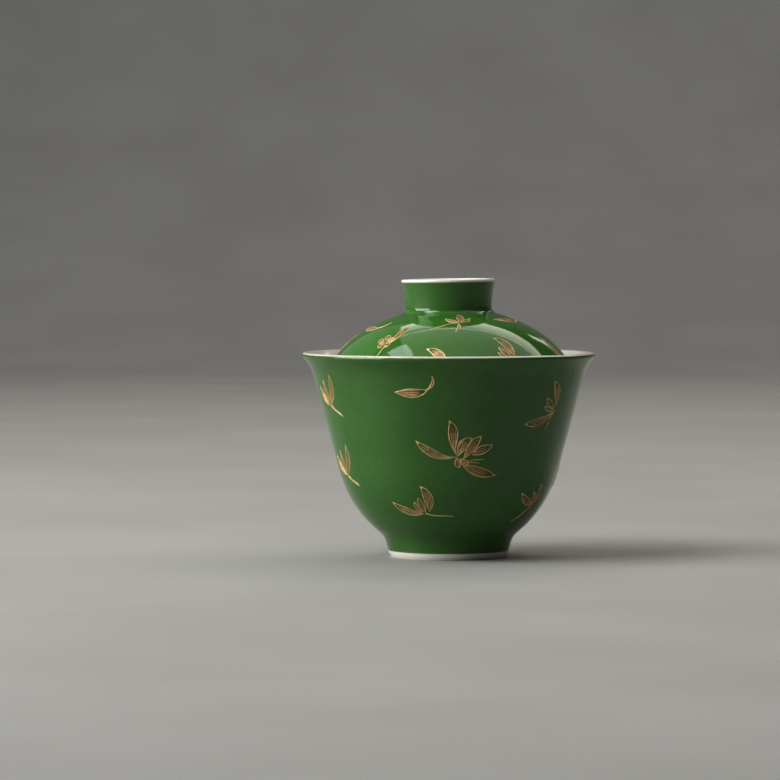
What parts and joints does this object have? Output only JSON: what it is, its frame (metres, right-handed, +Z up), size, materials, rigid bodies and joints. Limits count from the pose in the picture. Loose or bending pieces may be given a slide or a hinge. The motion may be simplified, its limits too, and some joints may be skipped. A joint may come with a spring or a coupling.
{
  "type": "gaiwan",
  "caption": "Flared porcelain tea bowl on a foot ring with a loose domed lid and hollow ring knob, green glazed outside and gilded with petal sprays.",
  "frame": {"origin": "centre of the foot ring's base, on the surface that the bowl stands on", "axes": "+Z up through the bowl; -Y towards the side with the large flower; the lid lies 0.8 degrees higher on its +X side"},
  "size_m": [0.092, 0.092, 0.0872],
  "materials": {
    "white_porcelain": "clear gloss glaze",
    "green_glaze": "glossy deep green glaze",
    "gilding": "soft satin gold enamel"
  },
  "bodies": {
    "bowl": {"bowl_body": "white_porcelain", "bowl_green_glaze": "green_glaze", "bowl_gilding": "gilding"},
    "lid": {"lid_body": "white_porcelain", "lid_green_glaze": "green_glaze", "lid_gilding": "gilding"}
  },
  "joints": [
    {"name": "lid_lift", "type": "slide", "parent": "bowl", "child": "lid", "axis": [0, 0, 1], "range_m": [0, 0.06]}
  ]
}
